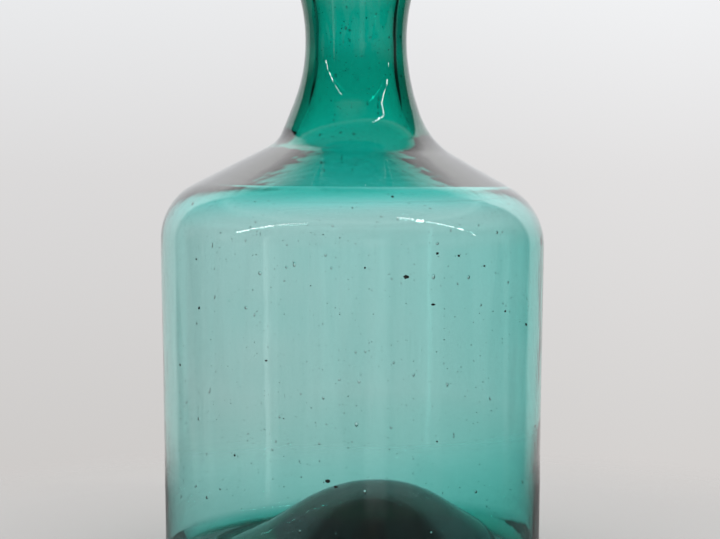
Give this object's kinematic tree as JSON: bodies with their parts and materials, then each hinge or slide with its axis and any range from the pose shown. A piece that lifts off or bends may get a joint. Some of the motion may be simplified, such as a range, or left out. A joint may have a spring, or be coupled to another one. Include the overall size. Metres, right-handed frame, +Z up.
{
  "type": "free-blown glass bottle",
  "caption": "Free-blown cylindrical glass bottle with a sloping shoulder, a waisted neck with a flared mouth, a kicked-up base and a tapered cork stopper.",
  "frame": {"origin": "centre of the foot ring, on the surface that the bottle stands on", "axes": "+Z up along the bottle's axis, towards the mouth; -Y is the front"},
  "size_m": [0.15, 0.15, 0.263],
  "materials": {
    "bottle_glass": "fire-polished transparent blue-green glass with seeds and small stones",
    "stones": "dark unmelted grains enclosed in the glass",
    "cork": "natural cork with lenticels and small pits"
  },
  "bodies": {
    "bottle": {"vessel": "bottle_glass", "lip_ring": "bottle_glass", "pontil_scar": "bottle_glass", "stone_inclusions": "stones"},
    "stopper": {"cork_stopper": "cork"}
  },
  "joints": [
    {"name": "stopper_lift", "type": "slide", "parent": "bottle", "child": "stopper", "axis": [0, 0, 1], "range_m": [0, 0.06]}
  ]
}
